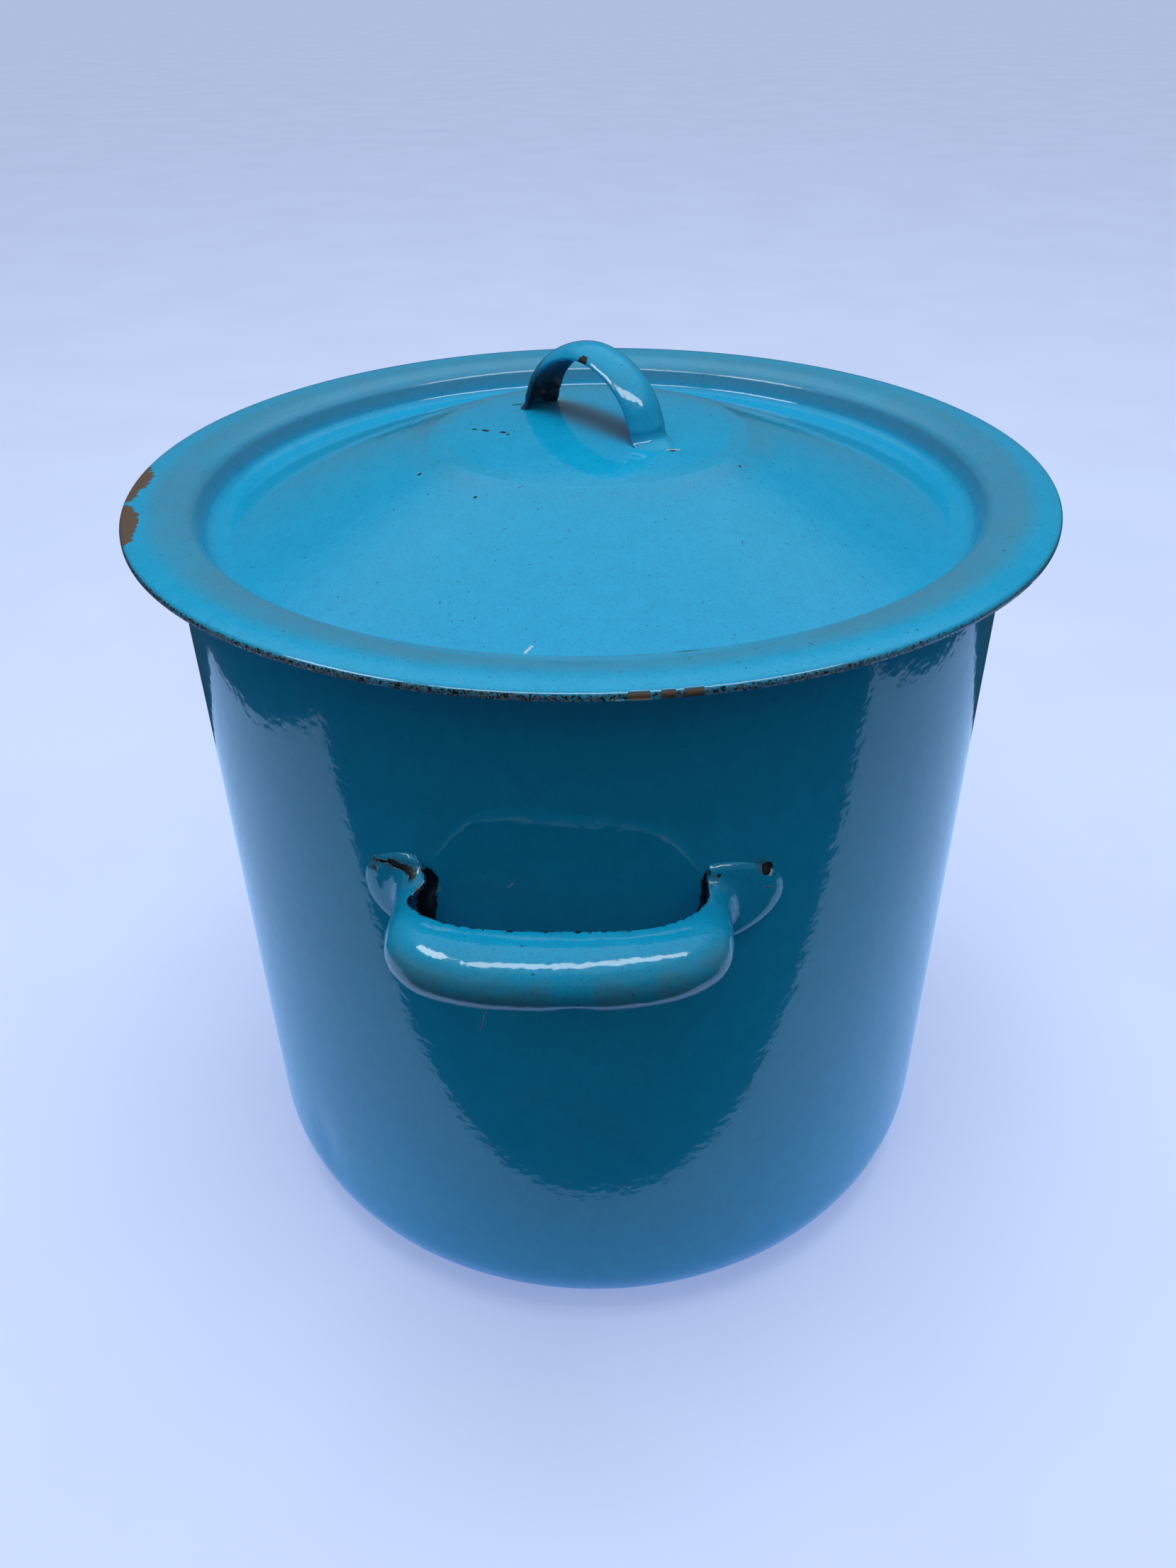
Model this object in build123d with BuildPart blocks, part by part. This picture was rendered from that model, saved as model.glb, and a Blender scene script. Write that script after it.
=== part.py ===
from build123d import *
import math
import os

# An enamelled steel stock pot with two welded side handles and a lift-off lid.
# Millimetres, +Z up. The pot stands on Z = 0 with its axis on Z, and its side
# handles face -Y and +Y.

# Pot body: one deep-drawn shell with a rolled rim
body_radius = 150.0
body_wall = 1.6
base_corner_radius = 32.0
rim_top = 300.9
rim_bead_radius = 2.8

# Lid: one pressed shell that rests on the rim, with the sizes of its top skin
lid_wall = 1.4
crown_height = 319.7
plateau_radius = 58.0
plateau_edge_height = 315.6
dome_foot_radius = 131.0
trough_radius = 138.5
trough_height = 290.4
brim_inner_radius = 141.6
brim_inner_height = 300.4
brim_crest_radius = 155.0
brim_crest_height = 303.8
brim_radius = 165.7
brim_edge_height = 301.9
brim_hem = 2.5

# Side handles: a channel strap bent to a U, with a welded tab at each end.
# The U lies in a plane that leans up and out from the line where it meets the wall.
grip_half_span = 40.3
grip_root = 143.0
grip_reach = 36.5
grip_bow = 2.0
grip_corner_radius = 23.0
grip_bow_radius = 200.0
grip_height = 213.0
grip_lean = 8.0
strap_radius = 12.2
strap_wall = 1.8
tab_angle = 21.7
tab_half_width = 11.5
tab_half_height = 15.0
tab_height = 215.0

# Lid handle: a cambered strap bent to an arch, with a welded pad under each foot
arch_turn = -44.0
arch_half_span = 32.0
arch_rise = 27.1
arch_width = 16.8
arch_camber = 4.6
arch_wall = 1.5
pad_half_length = 13.0
pad_half_width = 9.6
pad_wall = 0.9

os.makedirs("parts", exist_ok=True)


def lid_skin(rise=0.0):
    """The lid's top skin from its axis out to its hem, lifted by rise."""
    outline = [
        (0, crown_height),
        (plateau_radius / 2, crown_height),
        (plateau_radius, plateau_edge_height),
        (dome_foot_radius, trough_height),
        (trough_radius, trough_height),
        (brim_inner_radius, brim_inner_height),
        (brim_crest_radius, brim_crest_height),
        (brim_radius, brim_edge_height),
        (brim_radius, brim_edge_height - brim_hem),
    ]
    bends = [330, 14, 7, 3.2, 3, 36, 1.9]
    return FilletPolyline(*[(r, z + rise) for r, z in outline], radius=bends)


# Pot body

bead_center = (body_radius - body_wall + rim_bead_radius, rim_top - rim_bead_radius)

with BuildPart() as pot_body:
    with BuildSketch(Plane.XZ):
        with BuildLine():
            FilletPolyline(
                (0, 0), (body_radius, 0), (body_radius, bead_center[1]), radius=base_corner_radius
            )
            offset(amount=body_wall, side=Side.LEFT)
        make_face()
        with Locations(bead_center):
            Circle(rim_bead_radius)
    revolve(axis=Axis.Z)

# Side handles

tab_offset = body_radius * math.sin(math.radians(tab_angle))
lean = math.radians(grip_lean)
grip_plane = Plane(
    (0, -grip_root, grip_height), x_dir=(1, 0, 0), z_dir=(0, math.sin(lean), math.cos(lean))
)

with BuildPart() as side_handle_front:
    # Tabs, cut from a skin on the wall
    with BuildSketch(Plane.XZ):
        with Locations((-tab_offset, tab_height), (tab_offset, tab_height)):
            Ellipse(tab_half_width, tab_half_height)
    extrude(amount=body_radius + strap_radius)
    with BuildSketch(Plane.XY.offset(tab_height - tab_half_height)):
        Circle(body_radius + strap_wall)
    extrude(amount=2 * tab_half_height, mode=Mode.INTERSECT)
    # Grip, a half-round channel that is open towards the wall
    with BuildLine(grip_plane) as grip_path:
        FilletPolyline(
            (-grip_half_span, strap_radius),
            (-grip_half_span, -grip_reach + grip_bow),
            (0, -grip_reach),
            (grip_half_span, -grip_reach + grip_bow),
            (grip_half_span, strap_radius),
            radius=[grip_corner_radius, grip_bow_radius, grip_corner_radius],
        )
    grip_wire = grip_path.wire()
    with BuildSketch(Plane(grip_wire @ 0, x_dir=(-1, 0, 0), z_dir=grip_wire % 0)):
        Circle(strap_radius)
        Circle(strap_radius - strap_wall, mode=Mode.SUBTRACT)
        with Locations((-strap_radius / 2, 0)):
            Rectangle(strap_radius, 2 * strap_radius, mode=Mode.SUBTRACT)
    sweep(path=grip_wire)
    # The wall of the pot, where tabs and grip end
    with BuildSketch(Plane.XY.offset(grip_height / 2)):
        Circle(body_radius)
    extrude(amount=grip_height, mode=Mode.SUBTRACT)

with BuildPart() as side_handle_rear:
    add(side_handle_front.part, rotation=(0, 0, 180))

# Lid

with BuildPart() as lid_shell:
    with BuildSketch(Plane.XZ):
        with BuildLine():
            lid_skin()
            offset(amount=lid_wall, side=Side.RIGHT)
        make_face()
    revolve(axis=Axis.Z)

# Lid handle, made along X and then turned to its rest position

with BuildPart() as level_arch:
    # Pads, a thin layer on the plateau
    with BuildSketch(Plane.XY.offset(plateau_edge_height)):
        with Locations((-arch_half_span, 0), (arch_half_span, 0)):
            Ellipse(pad_half_length, pad_half_width)
    extrude(amount=arch_rise)
    with BuildSketch(Plane.XZ):
        with BuildLine():
            skin = lid_skin(pad_wall)
            Polyline(skin @ 1, (brim_radius, 0), (0, 0), skin @ 0)
        make_face()
    revolve(axis=Axis.Z, mode=Mode.INTERSECT)
    # Arch, half an ellipse on two straight legs
    with BuildLine(Plane.XZ) as arch_path:
        Line((arch_half_span, plateau_edge_height), (arch_half_span, crown_height))
        EllipticalCenterArc((0, crown_height), arch_half_span, arch_rise, arc_size=180)
        Line((-arch_half_span, crown_height), (-arch_half_span, plateau_edge_height))
    with BuildSketch(Plane((arch_half_span, 0, plateau_edge_height))):
        with BuildLine():
            ThreePointArc((-arch_camber, -arch_width / 2), (0, 0), (-arch_camber, arch_width / 2))
            offset(amount=arch_wall, side=Side.LEFT)
        make_face()
    sweep(path=arch_path.wire())
    # The lid, where pads and legs end
    with BuildSketch(Plane.XZ):
        with BuildLine():
            skin = lid_skin()
            Polyline(skin @ 1, (brim_radius, 0), (0, 0), skin @ 0)
        make_face()
    revolve(axis=Axis.Z, mode=Mode.SUBTRACT)

with BuildPart() as lid_handle:
    add(level_arch.part, rotation=(0, 0, arch_turn))

# Hand the pieces out

pieces = {
    "pot_body": pot_body,
    "side_handle_front": side_handle_front,
    "side_handle_rear": side_handle_rear,
    "lid_shell": lid_shell,
    "lid_handle": lid_handle,
}
for name, piece in pieces.items():
    piece.part.label = name
    export_step(piece.part, f"parts/{name}.step")
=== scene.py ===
"""Enamelled stock pot with a loose lid, modelled round its packed frame."""

import math

import bmesh
import bpy
from bpy.props import FloatProperty, FloatVectorProperty, PointerProperty
from mathutils import Matrix, Vector, noise


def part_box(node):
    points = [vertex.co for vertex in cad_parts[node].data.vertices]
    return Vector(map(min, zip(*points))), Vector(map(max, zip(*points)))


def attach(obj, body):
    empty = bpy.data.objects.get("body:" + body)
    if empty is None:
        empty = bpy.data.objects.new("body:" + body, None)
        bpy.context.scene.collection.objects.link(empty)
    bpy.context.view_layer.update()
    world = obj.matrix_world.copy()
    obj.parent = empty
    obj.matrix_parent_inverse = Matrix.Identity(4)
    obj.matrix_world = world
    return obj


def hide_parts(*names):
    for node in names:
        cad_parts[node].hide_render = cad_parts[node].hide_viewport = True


bl_info = {
    "name": "Enamelled Stock Pot",
    "version": (1, 0, 0),
    "blender": (4, 5, 0),
    "location": "View3D > Sidebar > Stock Pot",
    "description": "Models an enamelled stock pot, its side handles and its lid",
    "category": "Add Mesh",
}

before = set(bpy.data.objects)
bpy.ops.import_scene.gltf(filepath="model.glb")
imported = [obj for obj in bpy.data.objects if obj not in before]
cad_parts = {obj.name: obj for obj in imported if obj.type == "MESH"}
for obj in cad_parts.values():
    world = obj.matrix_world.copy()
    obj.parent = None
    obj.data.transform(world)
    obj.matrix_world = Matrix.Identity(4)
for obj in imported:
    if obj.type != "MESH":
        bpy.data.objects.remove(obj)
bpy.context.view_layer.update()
POT_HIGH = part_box("pot_body")[1]
LID_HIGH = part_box("lid_shell")[1]
ARCH_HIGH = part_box("lid_handle")[1]
MM = 0.001

# Steps of a full turn, longest edge of a turned section, and how near two points are merged.
AROUND = 256
LONGEST = 0.006
MERGE = 1e-6


# ---------------------------------------------------------------- sizes and colours


def length(name, description, default):
    """A length property in metres."""
    return FloatProperty(
        name=name, description=description, default=default, subtype="DISTANCE", unit="LENGTH"
    )


def colour(name, description, default):
    """A linear colour property."""
    return FloatVectorProperty(
        name=name, description=description, default=default, subtype="COLOR", size=3, min=0, max=1
    )


class StockPotBodySizes(bpy.types.PropertyGroup):
    """Sizes of the pot's body."""

    radius: length("Radius", "Outside of the straight wall", 0.150)
    wall: length("Wall", "Thickness of the enamelled steel", 0.0016)
    corner: length("Corner", "Rounding between wall and base", 0.032)
    bead: length("Bead", "Radius of the rolled rim", 0.0028)
    rim: length("Rim height", "Top of the rolled rim", POT_HIGH.z)
    ripple: length("Ripple", "How far the pressed wall is out of round", 0.0003)
    dent: length("Dent", "Depth of the knock low on the wall", 0.0009)


class StockPotLidSizes(bpy.types.PropertyGroup):
    """Sizes of the pressed lid."""

    wall: length("Wall", "Thickness of the enamelled steel", 0.0014)
    crown: length("Crown", "Height of the lid's middle", LID_HIGH.z)
    plateau_radius: length("Plateau radius", "Edge of the flat middle", 0.058)
    plateau_edge: length("Plateau edge", "Height of the flat middle's edge", 0.3156)
    dome_foot: length("Dome foot", "Radius where the dome meets the trough", 0.131)
    trough_radius: length("Trough radius", "Outside of the trough's floor", 0.1385)
    trough: length("Trough", "Height of the trough's floor", 0.2904)
    brim_inner_radius: length("Brim inner radius", "Where the brim starts", 0.1416)
    brim_inner: length("Brim inner height", "Height where the brim starts", 0.3004)
    crest_radius: length("Crest radius", "Highest line of the brim", 0.155)
    crest: length("Crest", "Height of the brim's highest line", 0.3038)
    brim_radius: length("Brim radius", "Outside of the brim", LID_HIGH.x)
    brim_edge: length("Brim edge", "Height of the brim's outer edge", 0.3019)
    hem: length("Hem", "Drop of the brim's turned edge", 0.0025)


class StockPotGripSizes(bpy.types.PropertyGroup):
    """Sizes of the two side handles."""

    half_span: length("Half span", "Middle of the handle to its leg", 0.0403)
    root: length("Root", "Pot's axis to the plane the handle starts from", 0.143)
    corner: length("Corner", "Radius of the handle's turns", 0.023)
    height: length("Height", "Height of the handle at the wall", 0.213)
    strap: length("Strap radius", "Outside radius of the half-round strap", 0.0122)
    thickness: length("Thickness", "Thickness of the strap", 0.0018)
    notch: length("Notch", "Depth of the notch in the grip's lower edge", 0.0016)
    lean: FloatProperty(
        name="Lean",
        description="How far the handle rises outwards",
        default=math.radians(8),
        subtype="ANGLE",
        unit="ROTATION",
    )


class StockPotArchSizes(bpy.types.PropertyGroup):
    """Sizes of the arched handle on the lid."""

    half_span: length("Half span", "Middle of the arch to its foot", 0.032)
    rise: length("Rise", "Height of the arch over the lid", ARCH_HIGH.z - LID_HIGH.z)
    width: length("Width", "Width of the strap", 0.0168)
    camber: length("Camber", "Rise of the strap's rounded back", 0.0046)
    thickness: length("Thickness", "Thickness of the strap", 0.0015)
    turn: FloatProperty(
        name="Turn",
        description="Direction of the arch, seen from above",
        default=math.radians(-44),
        subtype="ANGLE",
        unit="ROTATION",
    )


class StockPotColours(bpy.types.PropertyGroup):
    """Colours of the finishes and the studio."""

    enamel: colour("Enamel", "Turquoise enamel", (0.004, 0.345, 0.620))
    lining: colour("Lining", "White enamel inside", (0.780, 0.790, 0.770))
    iron: colour("Iron", "Bare dark iron in the chips", (0.0015, 0.002, 0.005))
    rust: colour("Rust", "Rust round the chips", (0.140, 0.050, 0.014))
    scale: colour("Scale", "Brown scale on bare iron", (0.078, 0.064, 0.050))
    # The film colour also paints shade under the lid's arch and on its brim.
    grime: colour("Grime", "Cooked-on film", (0.105, 0.155, 0.165))
    speck: colour("Speck", "Fine specks in the enamel", (0.004, 0.140, 0.240))
    spot: colour("Spot", "Coarse dark spots in the enamel", (0.004, 0.050, 0.090))
    scratch: colour("Scratch", "Pale scratches", (0.550, 0.660, 0.700))
    pit: colour("Pit", "Pits in the white enamel", (0.060, 0.060, 0.070))
    floor: colour("Floor", "Floor of the studio", (0.460, 0.540, 0.760))
    table: colour("Table", "Table top that the pot mirrors", (0.400, 0.620, 1.000))
    ground: colour("Ground", "Surround below the horizon", (0.020, 0.038, 0.052))
    low: colour("Low surround", "Surround just over the horizon", (0.120, 0.130, 0.140))
    high: colour("High surround", "Surround overhead", (0.620, 0.660, 0.700))
    backdrop: colour("Backdrop", "Surround that the camera sees", (0.500, 0.560, 0.720))


# ---------------------------------------------------------------- mesh helpers


def chain(corners):
    """A half section as a chain of edges. Each corner is (radius, height, rounding)."""
    bm = bmesh.new()
    verts = [bm.verts.new((r, 0, z)) for r, z, _ in corners]
    for a, b in zip(verts, verts[1:]):
        bm.edges.new((a, b))
    for vert, (_, _, rounding) in zip(verts, corners):
        if rounding:
            round_corner(bm, vert, rounding)
    return bm


def round_corner(bm, vert, rounding, segments=10):
    """Round one corner of a chain to a radius."""
    ways = [(edge.other_vert(vert).co - vert.co).normalized() for edge in vert.link_edges]
    turn = math.pi - ways[0].angle(ways[1])
    bmesh.ops.bevel(
        bm,
        geom=[vert],
        offset=rounding * math.tan(turn / 2),
        offset_type="OFFSET",
        segments=segments,
        profile=0.5,
        affect="VERTICES",
        material=-1,
    )


def divide_long(bm, longest):
    """Divide the edges of a chain until none is longer than a length."""
    for edge in list(bm.edges):
        cuts = int(edge.calc_length() / longest)
        if cuts:
            bmesh.ops.subdivide_edges(bm, edges=[edge], cuts=cuts)


def lathe(bm, steps):
    """Spin a half section round the upright axis."""
    bmesh.ops.spin(
        bm,
        geom=bm.verts[:] + bm.edges[:],
        cent=(0, 0, 0),
        axis=(0, 0, 1),
        dvec=(0, 0, 0),
        angle=2 * math.pi,
        steps=steps,
        use_merge=True,
    )
    bmesh.ops.remove_doubles(bm, verts=bm.verts[:], dist=MERGE)
    bmesh.ops.recalc_face_normals(bm, faces=bm.faces[:])


def face_way(bm, seed, way):
    """Turn an open sheet over if the face nearest a point doesn't look a given way."""
    nearest = min(bm.faces, key=lambda face: (face.calc_center_median() - Vector(seed)).length)
    nearest.normal_update()
    if nearest.normal.dot(Vector(way)) < 0:
        bmesh.ops.reverse_faces(bm, faces=bm.faces[:])


def thicken(bm, thickness):
    """Give an open sheet a wall on the side it looks away from."""
    bmesh.ops.solidify(bm, geom=bm.faces[:], thickness=thickness)


def make_piece(name, bm, materials, body, node):
    """Turn a finished bmesh into a piece that stands for a CAD node."""
    mesh = bpy.data.meshes.new(name)
    bm.to_mesh(mesh)
    bm.free()
    mesh.shade_smooth()
    for material in materials:
        mesh.materials.append(material)
    piece = bpy.data.objects.new(name, mesh)
    bpy.context.scene.collection.objects.link(piece)
    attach(piece, body)
    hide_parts(node)
    return piece


def turn_upright(bm, angle):
    """Turn a mesh about the upright axis."""
    rotation = Matrix.Rotation(angle, 3, "Z")
    bmesh.ops.rotate(bm, cent=(0, 0, 0), matrix=rotation, verts=bm.verts[:])


def catmull_rom(a, b, c, d, t):
    """A value a share t of the way from b to c, on a smooth curve through all four."""
    first = (c - a) * t
    second = (2 * a - 5 * b + 4 * c - d) * t * t
    third = (3 * b - a - 3 * c + d) * t**3
    return 0.5 * (2 * b + first + second + third)


def blend_keys(keys, parts):
    """Smooth rows between key rows, with parts rows for each gap."""
    rows = []
    last = len(keys) - 1
    for i in range(last):
        four = keys[max(i - 1, 0)], keys[i], keys[i + 1], keys[min(i + 2, last)]
        for part in range(parts):
            rows.append([catmull_rom(*values, part / parts) for values in zip(*four)])
    rows.append(list(keys[-1]))
    return rows


def strap(bm, places):
    """Extrude an open section along places. Each place is a matrix for the section."""
    bmesh.ops.transform(bm, matrix=places[0], verts=bm.verts[:])
    edges = bm.edges[:]
    for before, after in zip(places, places[1:]):
        made = bmesh.ops.extrude_edge_only(bm, edges=edges)["geom"]
        verts = [part for part in made if isinstance(part, bmesh.types.BMVert)]
        edges = [part for part in made if isinstance(part, bmesh.types.BMEdge)]
        bmesh.ops.transform(bm, matrix=after @ before.inverted(), verts=verts)
    bmesh.ops.remove_doubles(bm, verts=bm.verts[:], dist=MERGE)
    bmesh.ops.recalc_face_normals(bm, faces=bm.faces[:])
    return bm


def arc_section(half_angle, steps):
    """An arc in the XZ plane, with its ends at Z -1 and 1 and its back at X 1."""
    bm = bmesh.new()
    start = bm.verts.new((math.cos(half_angle), 0, -math.sin(half_angle)))
    bmesh.ops.spin(
        bm,
        geom=[start],
        cent=(0, 0, 0),
        axis=(0, -1, 0),
        dvec=(0, 0, 0),
        angle=2 * half_angle,
        steps=steps,
        use_merge=False,
    )
    bmesh.ops.translate(bm, vec=(-math.cos(half_angle), 0, 0), verts=bm.verts[:])
    wide = 1 / (1 - math.cos(half_angle))
    bmesh.ops.scale(bm, vec=(wide, 1, 1 / math.sin(half_angle)), verts=bm.verts[:])
    return bm


def station(lip, web, half):
    """The matrix that puts a section's open side on lip and its back on web."""
    depth = web - lip
    side = half.cross(depth).normalized()
    place = Matrix((depth, side, half)).transposed().to_4x4()
    place.translation = lip
    return place


def soften(bm, width, shown, sharpest=50):
    """Round the edges sharper than an angle in degrees, where shown(point) is true.

    Their points get 1 in the attribute "edge", which the finishes wear through.
    """
    limit = math.radians(sharpest)
    edges = [
        edge
        for edge in bm.edges
        if len(edge.link_faces) == 2
        and edge.calc_face_angle(0) > limit
        and all(shown(vert.co) for vert in edge.verts)
    ]
    layer = bm.verts.layers.float.new("edge")
    for edge in edges:
        for vert in edge.verts:
            vert[layer] = 1.0
    bmesh.ops.bevel(
        bm,
        geom=edges,
        offset=width,
        offset_type="OFFSET",
        segments=2,
        profile=0.5,
        affect="EDGES",
        material=-1,
        clamp_overlap=True,
    )


def smooth_step(value):
    """0 below 0, 1 above 1, and smooth between."""
    value = min(max(value, 0), 1)
    return value * value * (3 - 2 * value)


# ---------------------------------------------------------------- shader helpers


class Value:
    """A shader socket. Python's operators on it add Math nodes."""

    def __init__(self, shader, socket):
        self.shader = shader
        self.socket = socket

    def math(self, operation, *others, clamp=False):
        """One Math node on this value and others."""
        settings = {"operation": operation, "use_clamp": clamp}
        inputs = dict(enumerate((self, *others)))
        return self.shader.node("ShaderNodeMath", settings, inputs)

    def __add__(self, other):
        return self.math("ADD", other)

    __radd__ = __add__

    def __sub__(self, other):
        return self.math("SUBTRACT", other)

    def __rsub__(self, other):
        return (self - other) * -1

    def __mul__(self, other):
        return self.math("MULTIPLY", other)

    __rmul__ = __mul__

    def __abs__(self):
        return self.math("ABSOLUTE")

    def bigger(self, other):
        """The bigger of two values."""
        return self.math("MAXIMUM", other)

    def smaller(self, other):
        """The smaller of two values."""
        return self.math("MINIMUM", other)

    def rise(self, low, high):
        """0 below low, 1 above high, and smooth between. low may be above high."""
        settings = {"interpolation_type": "SMOOTHSTEP"}
        turned = low > high
        inputs = {0: self, 1: min(low, high), 2: max(low, high), 3: 0.0, 4: 1.0}
        if turned:
            inputs.update({3: 1.0, 4: 0.0})
        return self.shader.node("ShaderNodeMapRange", settings, inputs)

    def band(self, start, full, fade, end):
        """1 between full and fade, 0 before start and after end, and smooth between."""
        return self.rise(start, full) * self.rise(end, fade)


class Nodes:
    """A node tree, and the ways to add to it."""

    def __init__(self, tree, coordinates):
        self.tree = tree
        self.place = self.node("ShaderNodeTexCoord", output=coordinates)

    def node(self, kind, settings=None, inputs=None, output=0):
        """Add a node, set its settings and then its sockets, and return one output."""
        made = self.tree.nodes.new(kind)
        for name, value in (settings or {}).items():
            setattr(made, name, value)
        for key, value in (inputs or {}).items():
            self.feed(made.inputs[key], value)
        return Value(self, made.outputs[output])

    def feed(self, socket, value):
        """Link a value to a socket, or set the socket to it."""
        if isinstance(value, Value):
            self.tree.links.new(value.socket, socket)
        elif hasattr(value, "__len__") and len(socket.default_value) == 4:
            socket.default_value = (*value, 1)[:4]
        else:
            socket.default_value = value

    def noise(self, scale, detail=2.0, rough=0.5, place=None, distortion=0.0):
        """Noise from 0 to 1, in features per metre."""
        inputs = {
            "Vector": place or self.place,
            "Scale": scale,
            "Detail": detail,
            "Roughness": rough,
            "Distortion": distortion,
        }
        return self.node("ShaderNodeTexNoise", None, inputs)

    def mix(self, share, low, high):
        """Mix two colours."""
        settings = {"data_type": "RGBA"}
        inputs = {"Factor": share, 6: low, 7: high}
        return self.node("ShaderNodeMix", settings, inputs, output=2)

    def axes(self):
        """The three coordinates of a point."""
        split = self.node("ShaderNodeSeparateXYZ", None, {0: self.place})
        return [Value(self, output) for output in split.socket.node.outputs]

    def bump(self, height, strength=1.0, distance=1.0):
        """A height, in units of a distance in metres, as a normal."""
        inputs = {"Strength": strength, "Distance": distance, "Height": height}
        return self.node("ShaderNodeBump", None, inputs)

    def worn_edge(self):
        """1 on the rounded edges of a piece."""
        return self.node("ShaderNodeAttribute", {"attribute_name": "edge"}, output="Fac")

    def vector(self, operation, inputs, output="Vector"):
        """One Vector Math node."""
        return self.node("ShaderNodeVectorMath", {"operation": operation}, inputs, output)

    def joined(self, x, y, z):
        """Three values as one vector."""
        return self.node("ShaderNodeCombineXYZ", None, {0: x, 1: y, 2: z})

    def away(self, place, start, end):
        """Distance of a place from the line between two points given in millimetres."""
        start = Vector(start) * MM
        way = Vector(end) * MM - start
        moved = self.vector("SUBTRACT", {0: place, 1: start})
        along = self.vector("DOT_PRODUCT", {0: moved, 1: way}, "Value")
        share = along.math("DIVIDE", max(way.length_squared, 1e-9), clamp=True)
        foot = self.vector("SCALE", {0: way, "Scale": share})
        return self.vector("DISTANCE", {0: moved, 1: foot}, "Value")

    def marks(self, place, lines, blur=0.25):
        """Ragged marks. Each line is (start, end, reach, raggedness) in millimetres."""
        ragged = self.noise(420, 3, 0.65) - 0.5
        total = None
        for start, end, reach, rag in lines:
            distance = self.away(place, start, end) + ragged * (4 * rag * MM)
            mark = distance.rise((reach + blur) * MM, (reach - blur / 2) * MM)
            total = mark if total is None else total.bigger(mark)
        return total


class Shader(Nodes):
    """One material and the nodes in it."""

    def __init__(self, name):
        self.material = bpy.data.materials.new(name)
        self.material.use_nodes = True
        super().__init__(self.material.node_tree, "Object")
        self.surface = self.tree.nodes["Principled BSDF"]

    def set(self, **values):
        """Set sockets of the surface, by name with _ for a space."""
        for name, value in values.items():
            self.feed(self.surface.inputs[name.replace("_", " ")], value)


# ---------------------------------------------------------------- finishes


# Heights of the enamel's wide, middle and finest waves, and how deep a chip is, in metres.
WIDE_WAVES = 0.00007
MIDDLE_WAVES = 0.000065
FINE_WAVES = 0.000006
CHIP_DEPTH = 0.00025
LINING_WAVES = 0.0001

# Roughness of clean enamel, and what a full film, bare iron and rust add to it.
GLAZE_ROUGH = 0.07
GRIME_ROUGH = 0.22
BARE_ROUGH = 0.15
RUST_ROUGH = 0.50
LINING_ROUGH = 0.10
GLAZE_IOR = 1.52


def enamel(name, marks, peeling=1.0, speckled=1.0):
    """Turquoise enamel. marks(shader) gives film, bare iron, rust and scratches, 0 to 1; on the
    lid the film also holds painted shade.
    """
    colours = bpy.context.scene.stock_pot_colours
    shader = Shader(name)
    grime, bare, rust, pale = marks(shader)
    mottle = shader.noise(140, 4, 0.7)
    fine_specks = shader.noise(1900, 1, 0.5).rise(0.58, 0.70)
    spots = shader.noise(620, 2, 0.6).rise(0.700, 0.735)
    light = tuple(min(1, c * 1.03 + 0.002) for c in colours.enamel)
    dark = tuple(c * 0.96 for c in colours.enamel)
    base = shader.mix(mottle.rise(0.3, 0.7), dark, light)
    base = shader.mix(fine_specks * (0.45 * speckled), base, colours.speck)
    base = shader.mix(spots * (0.8 * speckled), base, colours.spot)
    # The film colour; on the lid it also paints shade under the arch and on the brim.
    base = shader.mix(grime, base, colours.grime)
    rusty = shader.noise(700, 3, 0.6).rise(0.46, 0.66)
    base = shader.mix(rust, base, shader.mix(rusty, colours.scale, colours.rust))
    scaly = shader.noise(1100, 2, 0.6).rise(0.45, 0.70) * 0.15
    base = shader.mix(bare, base, shader.mix(scaly, colours.iron, colours.scale))
    base = shader.mix(pale, base, colours.scratch)
    wide = shader.noise(110, 2, 0.5) * WIDE_WAVES
    middle = shader.noise(280, 1, 0.5) * MIDDLE_WAVES
    fine = shader.noise(900, 1, 0.5) * FINE_WAVES
    height = (wide + middle + fine) * peeling - bare.bigger(rust) * CHIP_DEPTH
    rough = grime * GRIME_ROUGH + bare * BARE_ROUGH + rust * RUST_ROUGH + GLAZE_ROUGH
    shader.set(Base_Color=base, Roughness=rough, Normal=shader.bump(height), IOR=GLAZE_IOR)
    return shader.material


def lining(name):
    """White enamel with a faint yellow mottle and fine pits."""
    colours = bpy.context.scene.stock_pot_colours
    shader = Shader(name)
    mottle = shader.noise(35, 3, 0.6)
    pits = shader.noise(900, 1, 0.5).rise(0.74, 0.80)
    yellowing = (0.90, 0.88, 0.82)
    stained = tuple(c * f for c, f in zip(colours.lining, yellowing))
    base = shader.mix(mottle.rise(0.45, 0.75) * 0.6, colours.lining, stained)
    base = shader.mix(pits * 0.5, base, colours.pit)
    bump = shader.bump(shader.noise(110, 2, 0.5) * LINING_WAVES)
    shader.set(Base_Color=base, Roughness=LINING_ROUGH, Normal=bump, IOR=GLAZE_IOR)
    return shader.material


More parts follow.
